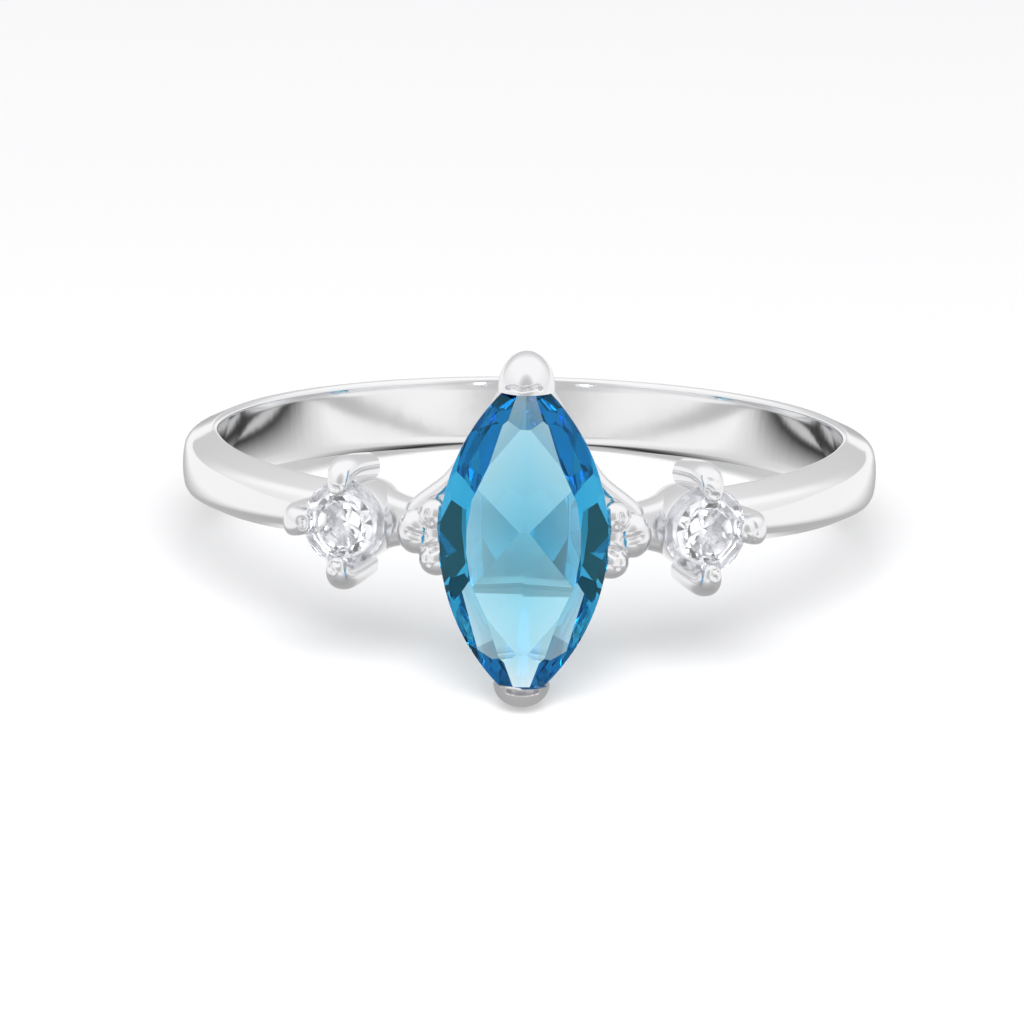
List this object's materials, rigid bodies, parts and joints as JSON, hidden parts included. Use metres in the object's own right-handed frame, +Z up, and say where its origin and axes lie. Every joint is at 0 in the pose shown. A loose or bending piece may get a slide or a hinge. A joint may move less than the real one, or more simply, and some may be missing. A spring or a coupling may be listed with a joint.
{
  "type": "three-stone ring",
  "caption": "Slender finger ring: a long pointed-oval stone held by a domed claw at each tip, between round stones in claw cups, with beaded trefoils on the bridges beside it.",
  "frame": {"origin": "centre of the finger bore, on its axis and half way along the shank's width", "axes": "+Z up from the table that the ring rests on, -Y towards the centre stone, +X across the row of stones; the bore's axis leans 10.5 degrees from +Z towards +Y"},
  "size_m": [0.0192, 0.0217, 0.0095],
  "materials": {
    "polished_silver": "mirror polish, rhodium-plated silver",
    "blue_stone": "faceted and polished, swiss blue",
    "clear_stone": "faceted and polished, colourless"
  },
  "bodies": {
    "root": {"shank": "polished_silver", "marquise_stone": "blue_stone", "upper_tip_claw": "polished_silver", "lower_tip_claw": "polished_silver", "left_side_stone": "clear_stone", "left_collet": "polished_silver", "left_bridge": "polished_silver", "left_trefoil": "polished_silver", "left_upper_arm": "polished_silver", "left_lower_arm": "polished_silver", "left_upper_claw": "polished_silver", "left_lower_claw": "polished_silver", "left_outer_claw": "polished_silver", "right_side_stone": "clear_stone", "right_collet": "polished_silver", "right_bridge": "polished_silver", "right_trefoil": "polished_silver", "right_upper_arm": "polished_silver", "right_lower_arm": "polished_silver", "right_upper_claw": "polished_silver", "right_lower_claw": "polished_silver", "right_outer_claw": "polished_silver"}
  },
  "joints": []
}
